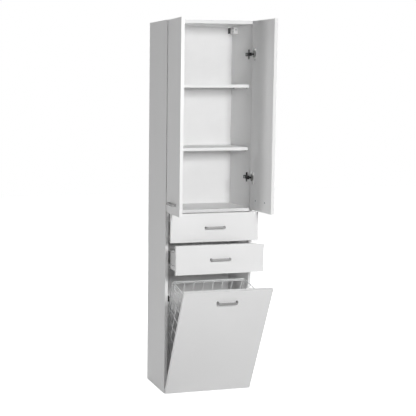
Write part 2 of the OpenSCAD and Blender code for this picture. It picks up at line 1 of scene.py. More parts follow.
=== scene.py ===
"""A white bathroom storage tower, half open: two doors, two drawers, a hamper and its basket."""

import json
import math

import bmesh
import bpy
import numpy as np
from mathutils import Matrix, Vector


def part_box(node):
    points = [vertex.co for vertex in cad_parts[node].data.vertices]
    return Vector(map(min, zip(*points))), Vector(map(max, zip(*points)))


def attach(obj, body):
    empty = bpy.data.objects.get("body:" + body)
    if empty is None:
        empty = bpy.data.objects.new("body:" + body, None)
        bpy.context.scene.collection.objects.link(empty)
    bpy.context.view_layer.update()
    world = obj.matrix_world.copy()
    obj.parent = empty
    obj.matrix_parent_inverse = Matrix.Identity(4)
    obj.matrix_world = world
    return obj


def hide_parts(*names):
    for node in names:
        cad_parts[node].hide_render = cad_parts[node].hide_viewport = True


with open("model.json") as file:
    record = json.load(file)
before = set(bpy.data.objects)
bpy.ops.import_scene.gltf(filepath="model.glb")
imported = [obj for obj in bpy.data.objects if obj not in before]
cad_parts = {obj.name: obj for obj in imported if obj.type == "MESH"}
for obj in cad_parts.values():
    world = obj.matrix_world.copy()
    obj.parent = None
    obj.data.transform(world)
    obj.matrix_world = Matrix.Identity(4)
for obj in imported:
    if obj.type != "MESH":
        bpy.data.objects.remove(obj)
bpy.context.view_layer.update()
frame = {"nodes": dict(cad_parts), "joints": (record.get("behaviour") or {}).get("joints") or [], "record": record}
NODES = frame["nodes"]
JOINTS = {joint["name"]: joint for joint in frame["joints"]}
BODY_OF = {
    node: body
    for body, nodes in frame["record"]["behaviour"]["bodies"].items()
    for node in nodes
}
SLOT_OF = {part["node"]: part["material_slot"] for part in frame["record"]["subparts"]}

MM = 0.001
X_AXIS = np.array([1.0, 0.0, 0.0])
Y_AXIS = np.array([0.0, 1.0, 0.0])
Z_AXIS = np.array([0.0, 0.0, 1.0])


# Places, taken from the frame


def low(node):
    """Lowest corner of a node's box at rest."""
    return np.array(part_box(node)[0])


def high(node):
    """Highest corner of a node's box at rest."""
    return np.array(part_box(node)[1])


def rotated(points, pivot, axis, degrees):
    """Turns points about an axis through a pivot. The arm from the pivot is the arm times the
    cosine, plus the axis crossed with the arm times the sine, plus the arm's part along the
    axis times one less the cosine."""
    arm = points - pivot
    angle = math.radians(degrees)
    along = (arm @ axis)[..., None] * axis
    return (
        pivot
        + arm * math.cos(angle)
        + np.cross(axis, arm) * math.sin(angle)
        + along * (1 - math.cos(angle))
    )


def opened(points, joint_name):
    """Turns points from the closed place to the place at rest, the joint's travel from its lower
    limit."""
    joint = JOINTS[joint_name]
    return rotated(
        points, np.array(joint["pos_m"]), np.array(joint["axis"], float), -joint["range_deg"][0]
    )


class Bench:
    """A small frame to draw a fitting in: an origin and three directions, with millimetres in
    and metres out, and the joint that turns the fitting from closed to rest, if one does."""

    def __init__(self, origin, first, second, third, joint=None):
        self.origin = np.asarray(origin, float)
        self.directions = np.array([first, second, third], float)
        self.joint = joint

    def at_rest(self, shells):
        """Shells drawn in this frame's millimetres, as metres in their place at rest."""
        moved = []
        for points, faces in shells:
            points = self.origin + points @ self.directions * MM
            if self.joint:
                points = opened(points, self.joint)
            moved.append((points, faces))
        return moved


# Finishes. Colours are sRGB hex values, and pattern sizes are real millimetres.


def linear(hex_colour):
    """Turns an sRGB hex value to linear red, green, blue and alpha."""
    values = np.array([int(hex_colour[k : k + 2], 16) / 255 for k in (1, 3, 5)])
    low_part = values / 12.92
    high_part = ((values + 0.055) / 1.055) ** 2.4
    return (*np.where(values <= 0.04045, low_part, high_part), 1.0)


def add(tree, kind, inputs=None, **settings):
    """Adds one node, with its settings, and each input set to a value or linked to a socket."""
    node = tree.nodes.new(kind)
    for setting, value in settings.items():
        setattr(node, setting, value)
    for socket, value in (inputs or {}).items():
        if isinstance(value, bpy.types.NodeSocket):
            tree.links.new(value, node.inputs[socket])
        else:
            node.inputs[socket].default_value = value
    return node


def shaded(name, constants):
    """A material with one principled shader, whose constant values are set on its own sockets."""
    material = bpy.data.materials.new(name)
    material.use_nodes = True
    shader = material.node_tree.nodes["Principled BSDF"]
    for socket, value in constants.items():
        shader.inputs[socket.replace("_", " ")].default_value = value
    return material, material.node_tree, shader


NOISE = "ShaderNodeTexNoise"
CELLS = "ShaderNodeTexVoronoi"

# A mix node's sockets for colours
MIX_SHARE = 0
MIX_FIRST = 6
MIX_SECOND = 7
MIX_RESULT = 2


def finish(name, grain, tones, gloss, relief=None, cloud=None, drawn=None, kind=NOISE, **constants):
    """A finish whose grain, a pattern of this width in millimetres and this detail, runs the
    roughness between the two ends of gloss and raises the surface by relief, a height in
    millimetres and a strength. The grain runs the colour between two tones too, unless a
    wider cloud does. The pattern is drawn out along an axis by a factor below 1."""
    material, tree, shader = shaded(name, constants)
    place = add(tree, "ShaderNodeTexCoord").outputs["Object"]
    if drawn:
        place = add(tree, "ShaderNodeMapping", {"Vector": place, "Scale": drawn}).outputs["Vector"]
    patterns = []
    for width, detail in (grain, cloud) if cloud else (grain,):
        inputs = {"Vector": place, "Scale": 1 / (width * MM), "Detail": detail}
        patterns.append(add(tree, kind, inputs).outputs[0])
    first, second = map(linear, tones)
    colours = {MIX_SHARE: patterns[-1], MIX_FIRST: first, MIX_SECOND: second}
    colour = add(tree, "ShaderNodeMix", colours, data_type="RGBA")
    tree.links.new(colour.outputs[MIX_RESULT], shader.inputs["Base Color"])
    ends = {"Value": patterns[0], "To Min": gloss[0], "To Max": gloss[1]}
    roughness = add(tree, "ShaderNodeMapRange", ends)
    tree.links.new(roughness.outputs["Result"], shader.inputs["Roughness"])
    if relief:
        height, strength = relief
        inputs = {"Height": patterns[0], "Distance": height * MM, "Strength": strength}
        bump = add(tree, "ShaderNodeBump", inputs)
        tree.links.new(bump.outputs["Normal"], shader.inputs["Normal"])
    return material


# Melamine-faced chipboard: a printed paper pressed under resin, so it is white, satin and very
# faintly pearled, and its tone drifts a little over 240 mm. The pearl is 0.3 mm wide on the
# real face and is drawn 1.2 mm wide, to show.
BOARD_FINISH = finish(
    "melamine_faced_chipboard",
    grain=(1.2, 3),
    cloud=(240, 2),
    tones=("#eeeeee", "#f2f2f2"),
    gloss=(0.38, 0.5),
    relief=(0.2, 0.28),
    IOR=1.5,
    Specular_IOR_Level=0.2,
)

# ABS edge band, ironed on and scraped flush: a little brighter and glossier than the faces,
# with the faint ripples, 3 mm wide, that scraping leaves.
EDGE_FINISH = finish(
    "abs_edge_band",
    grain=(3, 1),
    tones=("#f1f1f1", "#f5f5f5"),
    gloss=(0.28, 0.36),
    relief=(0.2, 0.06),
    IOR=1.52,
    Specular_IOR_Level=0.4,
)

# Lacquered hardboard: pressed fibres under a thin white lacquer, so a slight orange peel of
# 5 mm and faint fibre clouds of 60 mm show in a soft sheen.
BACK_FINISH = finish(
    "lacquered_hardboard",
    grain=(5, 4),
    cloud=(60, 2),
    tones=("#ebebeb", "#f0f0f0"),
    gloss=(0.45, 0.6),
    relief=(0.4, 0.3),
    IOR=1.48,
    Specular_IOR_Level=0.2,
)

# Black electrophoretic coat on pressed steel: deep black with a tight satin highlight and a
# fine stipple of 0.4 mm, drawn 0.8 mm wide.
HINGE_FINISH = finish(
    "black_coated_steel",
    grain=(0.8, 2),
    tones=("#0c0c0d", "#131314"),
    gloss=(0.36, 0.48),
    relief=(0.1, 0.1),
    IOR=1.5,
    Specular_IOR_Level=0.3,
)

# Dull nickel plate on pressed steel: a soft grey mirror with a faint haze of 2 mm from the
# sheet's own grain.
CUP_FINISH = finish(
    "nickel_plated_steel",
    grain=(2, 2),
    tones=("#b2b2b1", "#c0c0bf"),
    gloss=(0.36, 0.48),
    relief=(0.05, 0.1),
    Metallic=1.0,
)

# Epoxy powder coat on roll-formed steel: near white, even, with an orange peel of 1.5 mm.
DRAWER_FINISH = finish(
    "powder_coated_steel",
    grain=(1.5, 2),
    tones=("#e6e6e6", "#ececec"),
    gloss=(0.32, 0.44),
    relief=(0.2, 0.18),
    IOR=1.5,
    Specular_IOR_Level=0.3,
)

# Moulded nylon: milky, with a spark-eroded mould texture of 0.5 mm and, in the white one,
# light that goes a little way in.
NYLON = {"grain": (0.5, 2), "gloss": (0.38, 0.52), "relief": (0.1, 0.15), "IOR": 1.53}
WHITE_NYLON = finish(
    "moulded_white_nylon",
    tones=("#e9e9e8", "#f0f0ef"),
    Subsurface_Weight=0.1,
    Subsurface_Scale=2 * MM,
    Subsurface_Radius=(0.6, 0.6, 0.6),
    **NYLON,
)
BLACK_NYLON = finish("moulded_black_nylon", tones=("#161617", "#202022"), **NYLON)

# Satin nickel plate on die-cast zinc, brushed along the bar: the brush lines are 0.15 mm wide
# and are drawn 0.5 mm wide, so the highlight spreads across the bar. The door handles' bars
# lie along another axis than the others.
SATIN_NICKEL = {
    "grain": (0.5, 2),
    "tones": ("#838383", "#919191"),
    "gloss": (0.52, 0.64),
    "relief": (0.05, 0.12),
    "Metallic": 1.0,
}
HANDLE_FINISH = finish("satin_nickel", drawn=(0.04, 1, 1), **SATIN_NICKEL)
DOOR_HANDLE_FINISH = finish("satin_nickel_on_the_doors", drawn=(1, 0.04, 1), **SATIN_NICKEL)

# Bright plate under a milky lacquer on drawn wire: the lacquer scatters more light than the
# plate mirrors, so the wires stay pale in a dark basket. Slow waves of 30 mm come from the
# drawing, and the lacquer has a haze of 2 mm.
WIRE_FINISH = finish(
    "plated_wire",
    grain=(2, 2),
    cloud=(30, 2),
    tones=("#eaebeb", "#f3f3f3"),
    gloss=(0.3, 0.42),
    Metallic=0.3,
)

# Bright zinc plate: cool grey, with the patches of slightly different tone that zinc crystals
# leave, 3 mm wide.
ZINC_FINISH = finish(
    "zinc_plated_steel",
    kind=CELLS,
    grain=(3, 0),
    tones=("#a2a5a7", "#b8babc"),
    gloss=(0.24, 0.4),
    Metallic=1.0,
)

# Fluted beech dowel: pale pinkish wood with fine darker flecks along the grain, 1 mm apart.
BEECH_FINISH = finish(
    "turned_beech",
    grain=(1, 4),
    drawn=(0.1, 1, 1),
    tones=("#c9a57a", "#e2c7a0"),
    gloss=(0.5, 0.7),
    IOR=1.45,
)


# Meshes

MERGE_GAP = 1e-6
FACET_MERGE_GAP = 2e-6
FLAT_ANGLE = math.radians(0.5)
CREASE_ANGLE = math.radians(35)
ARRIS_ANGLE = math.radians(50)
ARRIS_STEPS = 2
EDGE_FACE_ANGLE = math.radians(60)


def make(name, shells, material, body, stands_for=()):
    """One piece from closed shells in metres, each an array of points with a list of faces.
    Doubled points are merged, and the faces of every shell are turned outwards."""
    starts = np.cumsum([0] + [len(points) for points, _ in shells])
    faces = []
    for start, (_, shell_faces) in zip(starts, shells):
        faces += [[int(start + corner) for corner in face] for face in shell_faces]
    mesh = bpy.data.meshes.new(name)
    mesh.from_pydata(np.concatenate([points for points, _ in shells]).tolist(), [], faces)
    shape = bmesh.new()
    shape.from_mesh(mesh)
    bmesh.ops.remove_doubles(shape, verts=shape.verts, dist=MERGE_GAP)
    bmesh.ops.recalc_face_normals(shape, faces=shape.faces)
    smooth_rounds(shape)
    shape.to_mesh(mesh)
    shape.free()
    mesh.materials.append(material)
    placed(name, mesh, body, stands_for)


def smooth_rounds(shape):
    """Smooth shading all over, with a crease on every edge that turns more than its angle."""
    for face in shape.faces:
        face.smooth = True
    for edge in shape.edges:
        edge.smooth = edge.is_manifold and edge.calc_face_angle(0.0) < CREASE_ANGLE


def placed(name, mesh, body, stands_for=()):
    """Puts a mesh in the scene as a piece that rides on a body and stands for CAD nodes."""
    piece = bpy.data.objects.new(name, mesh)
    bpy.context.scene.collection.objects.link(piece)
    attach(piece, body)
    if stands_for:
        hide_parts(*stands_for)
    return piece


def dress(node, material):
    """Gives a CAD node its material."""
    mesh = NODES[node].data
    mesh.materials.clear()
    mesh.materials.append(material)


def merged(node):
    """A copy of a node's mesh with its doubled points merged and its flat facets joined."""
    shape = bmesh.new()
    shape.from_mesh(NODES[node].data)
    bmesh.ops.remove_doubles(shape, verts=shape.verts, dist=FACET_MERGE_GAP)
    bmesh.ops.dissolve_limit(
        shape,
        angle_limit=FLAT_ANGLE,
        verts=shape.verts,
        edges=shape.edges,
        use_dissolve_boundaries=False,
    )
    return shape


def softened(node, suffix, material, arris, least, edge_material=None):
    """A piece that stands for a node, with each straight edge at least as long as least
    rounded by an arris. Faces that turn more than their angle from the broadest one take
    edge_material."""
    shape = merged(node)
    weight = shape.edges.layers.float.new("bevel_weight_edge")
    for edge in shape.edges:
        sharp = edge.is_manifold and edge.calc_face_angle(0.0) > ARRIS_ANGLE
        edge[weight] = 1.0 if sharp and edge.calc_length() > least else 0.0
    smooth_rounds(shape)
    mesh = bpy.data.meshes.new(node + suffix)
    shape.to_mesh(mesh)
    shape.free()
    mesh.materials.clear()
    mesh.materials.append(material)
    if edge_material:
        mesh.materials.append(edge_material)
        count = len(mesh.polygons)
        normals = np.empty(3 * count)
        areas = np.empty(count)
        mesh.polygons.foreach_get("normal", normals)
        mesh.polygons.foreach_get("area", areas)
        normals = normals.reshape(-1, 3)
        broad = normals[areas.argmax()]
        index = (np.abs(normals @ broad) < math.cos(EDGE_FACE_ANGLE)).astype(np.int32)
        mesh.polygons.foreach_set("material_index", index)
    piece = placed(node + suffix, mesh, BODY_OF[node], [node])
    bevel = piece.modifiers.new("arris", "BEVEL")
    bevel.limit_method = "WEIGHT"
    bevel.width = arris
    bevel.segments = ARRIS_STEPS
    bevel.use_clamp_overlap = False
    bevel.harden_normals = True


# Surfaces. Each returns one closed shell: an array of points and a list of faces.


def loft(rings, closed=False):
    """A closed skin over rings of points, given as one array. Each ring is joined to the next
    by quads. The first and the last ring get a lid, or are joined to each other if closed."""
    count, sides, _ = rings.shape
    index = np.arange(count * sides).reshape(count, sides)
    here = index if closed else index[:-1]
    there = np.roll(index, -1, 0) if closed else index[1:]
    quads = np.stack([here, np.roll(here, -1, 1), np.roll(there, -1, 1), there], -1)
    faces = quads.reshape(-1, 4).tolist()
    if not closed:
        faces += [index[0][::-1].tolist(), index[-1].tolist()]
    return rings.reshape(-1, 3), faces


def swept(path, outline, up, widths=1.0, closed=False):
    """Carries a flat outline along a path. At each point of the path the ring is the point,
    plus the outline's first number times the side direction, which is up crossed with the
    path's own direction, plus its second number times up."""
    if closed:
        along = np.roll(path, -1, 0) - np.roll(path, 1, 0)
    else:
        along = np.gradient(path, axis=0)
    side = np.cross(up, along)
    side /= np.linalg.norm(side, axis=1, keepdims=True)
    across = outline[None, :, :1] * np.reshape(widths, (-1, 1, 1)) * side[:, None]
    rings = path[:, None] + across + outline[None, :, 1:] * np.asarray(up, float)
    return loft(rings, closed)


def wheel(sides):
    """The cosine and the sine of equal steps of a full turn."""
    turn = np.arange(sides) * 2 * math.pi / sides
    return np.stack([np.cos(turn), np.sin(turn)], -1)


def pillow(wide, tall, power, sides=32):
    """A superellipse: half the width and height times the cosine and sine of a full turn,
    each raised to two over the power with its sign kept."""
    turn = (np.arange(sides) + 0.5) * 2 * math.pi / sides
    wave = np.stack([np.cos(turn), np.sin(turn)], -1)
    return np.sign(wave) * np.abs(wave) ** (2 / power) * np.array([wide, tall]) / 2


def rounded_path(corners, cut, steps=6, closed=False):
    """Straight runs from corner to corner, where each corner is a quadratic Bezier curve that
    starts and ends this far from it."""
    corners = np.asarray(corners, float)
    into = np.roll(corners, 1, 0) - corners
    out = np.roll(corners, -1, 0) - corners
    enter = corners + cut * into / np.linalg.norm(into, axis=1, keepdims=True)
    leave = corners + cut * out / np.linalg.norm(out, axis=1, keepdims=True)
    share = np.linspace(0, 1, steps + 1)[None, :, None]
    curves = (
        (1 - share) ** 2 * enter[:, None]
        + 2 * share * (1 - share) * corners[:, None]
        + share**2 * leave[:, None]
    )
    if closed:
        return curves.reshape(-1, corners.shape[1])
    middle = curves[1:-1].reshape(-1, corners.shape[1])
    return np.concatenate([corners[:1], middle, corners[-1:]])


def straight(start, end, steps=2):
    """Points at equal steps from start to end."""
    return np.linspace(np.asarray(start, float), np.asarray(end, float), steps)


def turned(profile, foot, axis, first, sides, closed=False):
    """A lathe form: each entry of the profile, a radius and a height, is carried in a circle
    round an axis from its foot. A radius or a height may change along the circle, as an array
    with a value for each side, counted from the first direction. The profile starts and ends
    on the axis, or is a closed loop round a bore."""
    axis = np.asarray(axis, float)
    first = np.asarray(first, float)
    turn = wheel(sides)
    spokes = turn[:, :1] * first + turn[:, 1:] * np.cross(axis, first)
    radii = np.array([np.broadcast_to(radius, sides) for radius, _ in profile], float)
    heights = np.array([np.broadcast_to(height, sides) for _, height in profile], float)
    rings = np.asarray(foot, float) + heights[..., None] * axis + radii[..., None] * spokes
    return loft(rings, closed)


FOLD_STEPS = 4


def folded(corners, thickness, cut, start, end, first, second):
    """Folded sheet: an open line of corners in the plane of the first and second directions,
    with rounded bends, is thickened by half the sheet to both sides of its own normal and
    carried straight from start to end."""
    line = rounded_path(corners, cut, FOLD_STEPS)
    along = np.gradient(line, axis=0)
    along /= np.linalg.norm(along, axis=1, keepdims=True)
    normal = np.stack([-along[:, 1], along[:, 0]], -1) * thickness / 2
    outline = np.concatenate([line + normal, (line - normal)[::-1]])
    flat = outline[:, :1] * np.asarray(first, float) + outline[:, 1:] * np.asarray(second, float)
    rings = np.stack([np.asarray(start, float) + flat, np.asarray(end, float) + flat])
    return loft(rings)


def block(lowest, highest, arris, power=14):
    """A moulded block: a pillow outline in x and y is carried up z, and drawn in by an arris at
    both ends."""
    lowest = np.asarray(lowest, float)
    highest = np.asarray(highest, float)
    wide, deep, _ = highest - lowest
    full = pillow(wide, deep, power)
    eased = pillow(wide - 2 * arris, deep - 2 * arris, power)
    levels = [(eased, lowest[2]), (full, lowest[2] + arris)]
    levels += [(full, highest[2] - arris), (eased, highest[2])]
    middle = (lowest[:2] + highest[:2]) / 2
    rings = [np.c_[outline + middle, np.full(len(outline), z)] for outline, z in levels]
    return loft(np.array(rings))


# A pan head screw, in shares of its head's radius. The recess is a share of the head's height.
CROSS_SIDES = 40
CROSS_HALF = 0.16
CROSS_REACH = 0.62
CROSS_EASE = 0.07
CROSS_DEPTH = 0.8
DOME_SPREAD = 0.9
DOME_SHARES = (1, 0.94, 0.82, 0.7, 0.62, 0.55, 0.45, 0.34, 0.24, 0.16, 0)


def cross_head(foot, axis, first, head, shank=None):
    """A pan head screw, whose head is a radius and a height: a flattened dome with a cross
    recess. The dome's height is its full height times the root of one less the square of its
    spread times the share of the radius. The recess drops it where a point lies closer than
    half an arm's width to an arm of the cross and inside the recess's reach. A shank is a
    radius and a length under the head."""
    radius, tall = head
    turn = wheel(CROSS_SIDES)
    profile = [(0, 0), (radius, 0)]
    if shank:
        profile = [(0, -shank[1]), (shank[0], -shank[1]), (shank[0], 0), (radius, 0)]
    for share in DOME_SHARES:
        off_arm = np.abs(turn * share).min(axis=1)
        inside = np.clip((CROSS_HALF - off_arm) / CROSS_EASE, 0, 1)
        inside *= np.clip((CROSS_REACH - share) / CROSS_EASE, 0, 1)
        dome = math.sqrt(1 - (DOME_SPREAD * share) ** 2)
        profile.append((share * radius, tall * (dome - CROSS_DEPTH * inside)))
    return turned(profile, foot, axis, first, CROSS_SIDES)


NEARLY_ZERO = 1e-9


def stadium(half_long, radius, offset, sides):
    """Distance from a point to the outline of a strip with round ends, for each step of a full
    turn. The strip's long way is the turn's second direction, and its middle lies off the
    point along the first. The outline is its straight side where a ray meets that within the
    strip's straight length, and otherwise its end circle."""
    turn = wheel(sides)
    cosine, sine = turn[:, 0], turn[:, 1]
    side = np.where(cosine > 0, offset + radius, offset - radius)
    cosine = np.where(np.abs(cosine) < NEARLY_ZERO, NEARLY_ZERO, cosine)
    to_side = side / cosine
    straight_half = half_long - radius
    reach = cosine * offset + np.abs(sine) * straight_half
    root = reach**2 - offset**2 - straight_half**2 + radius**2
    to_end = reach + np.sqrt(np.maximum(root, 0))
    return np.where(np.abs(to_side * sine) <= straight_half, to_side, to_end)


# Boards with their edge bands

ARRIS = 0.8 * MM
LEAST_BANDED = 100 * MM
BOARDS = [
    "side_left",
    "side_right",
    "top_panel",
    "fixed_shelf",
    "bottom_panel",
    "shelf_upper",
    "shelf_lower",
    "door_left",
    "door_right",
    "drawer_front_upper",
    "drawer_front_lower",
    "drawer_base_upper",
    "drawer_base_lower",
    "drawer_back_upper",
    "drawer_back_lower",
    "hamper_front",
]
for board_node in BOARDS:
    softened(board_node, "_banded", BOARD_FINISH, ARRIS, LEAST_BANDED, EDGE_FINISH)
dress("back_panel", BACK_FINISH)

# Carcass sizes that the fittings are placed by: four places from the frame, in metres, and in
# millimetres a board's thickness, how far a door lies in from the side, and the gap behind a
# front

HALF_W = high("side_right")[0]
FRONT_Y = low("side_left")[1]
DOOR_LOW = low("door_left")[2]
DOOR_TOP = high("door_left")[2]
BOARD = 16
DOOR_INSET = 2
SEAM = 2

# Fittings that keep the shape of their nodes

softened("basket_clips", "_moulded", WHITE_NYLON, arris=0.8 * MM, least=5 * MM)
for zinc_node in ("cam_fittings", "stop_pins"):
    dress(zinc_node, ZINC_FINISH)
dress("shelf_pins", CUP_FINISH)
dress("dowels", BEECH_FINISH)


# Concealed hinges, drawn closed in the hinge's own frame: x inward from the outer side of the
# carcass, y back from its front, and z along the turning axis

HINGE_FROM_END = 158 * MM
HAMPER_HINGE_IN = 133 * MM
HAMPER_LIFT = 2
CUP_X = 24.5
CUP_R = 17.5
CUP_BORE_R = 16.5
CUP_DEEP = 12
CUP_SHEET = 1
CUP_FIT = 0.1
CUP_SEAT = 0.05
CUP_EASE = 0.4
CUP_FILLET = ((3, 0), (0.8, 1), (0, 3))
CUP_FOOT = (2, 3)
FLANGE_R = 18.5
EAR_HALF = 31
EAR_R = 9
EAR_IN = 5.5
EAR_SCREW_Z = 26
PLATE_Y = 37
WING_HALF = 24
WING_R = 6
WING_T = 2.5
WING_EASE = 0.5
WING_SCREW_Z = 16
CLIP_Y = (22, 52)
CLIP_HALF = 6.4
CLIP_UNDER = 1.3
CLIP_ARRIS = 0.5
ARM_REAR_X = 28
ARM_FRONT_X = 34
SIDEWAYS_SCREW_Y = 6
CUP_SIDES = 96
WING_SIDES = 48

# Heads of the hinges' screws, as a radius and a height
CUP_SCREW = (4, 1.8)
PLATE_SCREW = (4, 1.6)
SIDEWAYS_SCREW = (3.2, 1.2)
FIXING_SCREW = (4.6, 2.2)


def door_hinges(side, joint=None):
    """The frames of a door's two hinges. The side is -1 on the left and 1 on the right."""
    return [
        Bench((side * HALF_W, FRONT_Y, z), -side * X_AXIS, Y_AXIS, Z_AXIS, joint)
        for z in (DOOR_LOW + HINGE_FROM_END, DOOR_TOP - HINGE_FROM_END)
    ]


def hamper_hinges(joint=None):
    """The frames of the hamper's two hinges, on the bottom panel."""
    return [
        Bench((x, FRONT_Y, 0), Z_AXIS, Y_AXIS, -X_AXIS, joint)
        for x in (-HAMPER_HINGE_IN, HAMPER_HINGE_IN)
    ]


def pressed_cup(lift):
    """A cup with its flange in one pressing: a bore, a flange whose rim is the larger of a
    circle and a strip with round ends, and the cup's outer wall with its bevelled foot."""
    rim = np.maximum(FLANGE_R, stadium(EAR_HALF, EAR_R, EAR_IN, CUP_SIDES))
    floor_level = CUP_DEEP - CUP_SHEET
    outer = CUP_R - CUP_FIT
    profile = [
        (0, floor_level),
        *((CUP_BORE_R - inward, floor_level - up) for inward, up in CUP_FILLET),
        (CUP_BORE_R, CUP_EASE - CUP_SHEET),
        (CUP_BORE_R + CUP_EASE, -CUP_SHEET),
        (rim - CUP_EASE, -CUP_SHEET),
        (rim, CUP_EASE - CUP_SHEET),
        (rim, -CUP_SEAT),
        (outer, -CUP_SEAT),
        (outer, CUP_DEEP - CUP_FOOT[1]),
        (CUP_R - CUP_FOOT[0], CUP_DEEP),
        (0, CUP_DEEP),
    ]
    return turned(profile, (CUP_X + lift, -SEAM, 0), -Y_AXIS, X_AXIS, CUP_SIDES)


def cup_screws(lift):
    """The two screws in a cup's ears."""
    x = CUP_X + EAR_IN + lift
    feet = [(x, CUP_SHEET - SEAM, z) for z in (-EAR_SCREW_Z, EAR_SCREW_Z)]
    return [cross_head(foot, Y_AXIS, X_AXIS, CUP_SCREW) for foot in feet]


def mounting_plate(lift):
    """A wing with round ends, eased at its upper edge, and the block that the arm clips on."""
    rim = stadium(WING_HALF, WING_R, 0, WING_SIDES)
    eased = WING_T - WING_EASE
    profile = [(0, 0), (rim, 0), (rim, eased), (rim - WING_EASE, WING_T), (0, WING_T)]
    wing = turned(profile, (BOARD, PLATE_Y, 0), X_AXIS, Y_AXIS, WING_SIDES)
    lowest = (BOARD, CLIP_Y[0], -CLIP_HALF)
    highest = (ARM_REAR_X - CLIP_UNDER + lift, CLIP_Y[1], CLIP_HALF)
    return [wing, block(lowest, highest, CLIP_ARRIS)]


def plate_screws():
    """The two screws in a plate's wings."""
    feet = [(BOARD + WING_T, PLATE_Y, z) for z in (-WING_SCREW_Z, WING_SCREW_Z)]
    return [cross_head(foot, X_AXIS, Y_AXIS, PLATE_SCREW) for foot in feet]


def sideways_screw(lift):
    """The small screw in the arm that shifts the door sideways."""
    foot = (ARM_FRONT_X + lift, SIDEWAYS_SCREW_Y, 0)
    return [cross_head(foot, X_AXIS, Y_AXIS, SIDEWAYS_SCREW)]


def fixing_screw(lift):
    """The screw over the wings that fixes the arm."""
    return [cross_head((ARM_REAR_X + lift, PLATE_Y, 0), X_AXIS, Y_AXIS, FIXING_SCREW)]


def on_benches(benches, *shell_lists):
    """The same shells in every frame, in metres at rest."""
    shells = [shell for shell_list in shell_lists for shell in shell_list]
    return [moved for bench in benches for moved in bench.at_rest(shells)]


plates, dark_screws, fixings = [], [], []
for benches, lift in ((door_hinges(-1) + door_hinges(1), 0), (hamper_hinges(), HAMPER_LIFT)):
    plates += on_benches(benches, mounting_plate(lift))
    dark_screws += on_benches(benches, plate_screws(), sideways_screw(lift))
    fixings += on_benches(benches, fixing_screw(lift))
make("hinge_plates_cast", plates, HINGE_FINISH, "carcass", ["hinge_plates"])
softened("hinge_arms", "_pressed", HINGE_FINISH, arris=0.5 * MM, least=2 * MM)
make("hinge_plate_screws", dark_screws, HINGE_FINISH, "carcass")
make("hinge_fixing_screws", fixings, CUP_FINISH, "carcass")
for name, benches, lift in (
    ("left", door_hinges(-1, "left_door_hinge"), 0),
    ("right", door_hinges(1, "right_door_hinge"), 0),
    ("hamper", hamper_hinges("hamper_hinge"), HAMPER_LIFT),
):
    node = f"hinge_cups_{name}"
    cups = on_benches(benches, [pressed_cup(lift)])
    make(f"{node}_pressed", cups, CUP_FINISH, BODY_OF[node], [node])
    screws = on_benches(benches, cup_screws(lift))
    make(f"cup_screws_{name}", screws, ZINC_FINISH, BODY_OF[node])
    softened(f"hinge_links_{name}", "_pressed", HINGE_FINISH, arris=0.3 * MM, least=3 * MM)


# Handles: a bow bent from a flat bar, with feet that spread a little where they meet the front

HANDLE_HALF = 48
HANDLE_PROUD = 20
BAR_THICK = 6
BAR_TALL = 11
FOOT_THICK = 9
BAR_POWER = 5
LEG_SLANT = 1
HANDLE_BEND = 6
BEND_STEPS = 8
LEG_STEPS = 4
HANDLE_SCREW = (4, 1.6)
HANDLE_SCREW_R = 2
HANDLE_GRIP = 8.5
DOOR_W = 221.5
DOOR_HANDLE_UP = 49 * MM
HAMPER_HANDLE_Z = 553 * MM
OUTER_Y = FRONT_Y - (SEAM + BOARD) * MM


def bow():
    """A bow handle on a front at y = 0. The bar's pillow outline follows a path of two legs and
    a bar between two bent corners, and its thickness grows by the square of the nearness to
    the front, from the bar's to the foot's."""
    reach = HANDLE_PROUD - BAR_THICK / 2
    top_half = HANDLE_HALF - LEG_SLANT
    corners = [(-HANDLE_HALF, 0), (-top_half, -reach), (top_half, -reach), (HANDLE_HALF, 0)]
    plan = rounded_path(corners, HANDLE_BEND, BEND_STEPS)
    first_leg = straight(plan[0], plan[1], LEG_STEPS)
    last_leg = straight(plan[-2], plan[-1], LEG_STEPS)
    plan = np.concatenate([first_leg[:-1], plan[1:-1], last_leg[1:]])
    path = np.c_[plan, np.zeros(len(plan))]
    nearness = np.clip(1 + plan[:, 1] / reach, 0, 1) ** 2
    widths = 1 + nearness * (FOOT_THICK / BAR_THICK - 1)
    return swept(path, pillow(BAR_THICK, BAR_TALL, BAR_POWER), Z_AXIS, widths)


def handle_screws():
    """The two screws that go through a front from its inner face into the handle's feet."""
    shank = (HANDLE_SCREW_R, BOARD + HANDLE_GRIP)
    return [
        cross_head((x, BOARD, 0), Y_AXIS, X_AXIS, HANDLE_SCREW, shank)
        for x in (-HANDLE_HALF, HANDLE_HALF)
    ]


def fit_handle(front, bench, material):
    """Puts a bow handle on the outside of a front and its screws on the inside."""
    node = f"handle_{front}"
    bow_shell = bench.at_rest([bow()])
    make(f"bow_handle_{front}", bow_shell, material, BODY_OF[node], [node])
    node = f"handle_screws_{front}"
    screws = bench.at_rest(handle_screws())
    make(f"{node}_crossed", screws, ZINC_FINISH, BODY_OF[node], [node])


for drawer in ("upper", "lower"):
    middle = (low(f"drawer_front_{drawer}") + high(f"drawer_front_{drawer}")) / 2
    middle[1] = low(f"drawer_front_{drawer}")[1]
    fit_handle(drawer, Bench(middle, X_AXIS, Y_AXIS, Z_AXIS), HANDLE_FINISH)
for side, name in ((-1, "left"), (1, "right")):
    joint = f"{name}_door_hinge"
    x = side * (HALF_W - (DOOR_INSET + DOOR_W / 2) * MM)
    place = (x, OUTER_Y, DOOR_LOW + DOOR_HANDLE_UP)
    fit_handle(name, Bench(place, X_AXIS, Y_AXIS, Z_AXIS, joint), DOOR_HANDLE_FINISH)
place = (0, OUTER_Y, HAMPER_HANDLE_Z)
fit_handle("hamper", Bench(place, X_AXIS, Y_AXIS, Z_AXIS, "hamper_hinge"), HANDLE_FINISH)


# Drawers: folded steel sides and runners with turned nylon rollers. A side is drawn on the left,
# x from the middle of the carcass, y from its front and z from the foot of the drawer front.

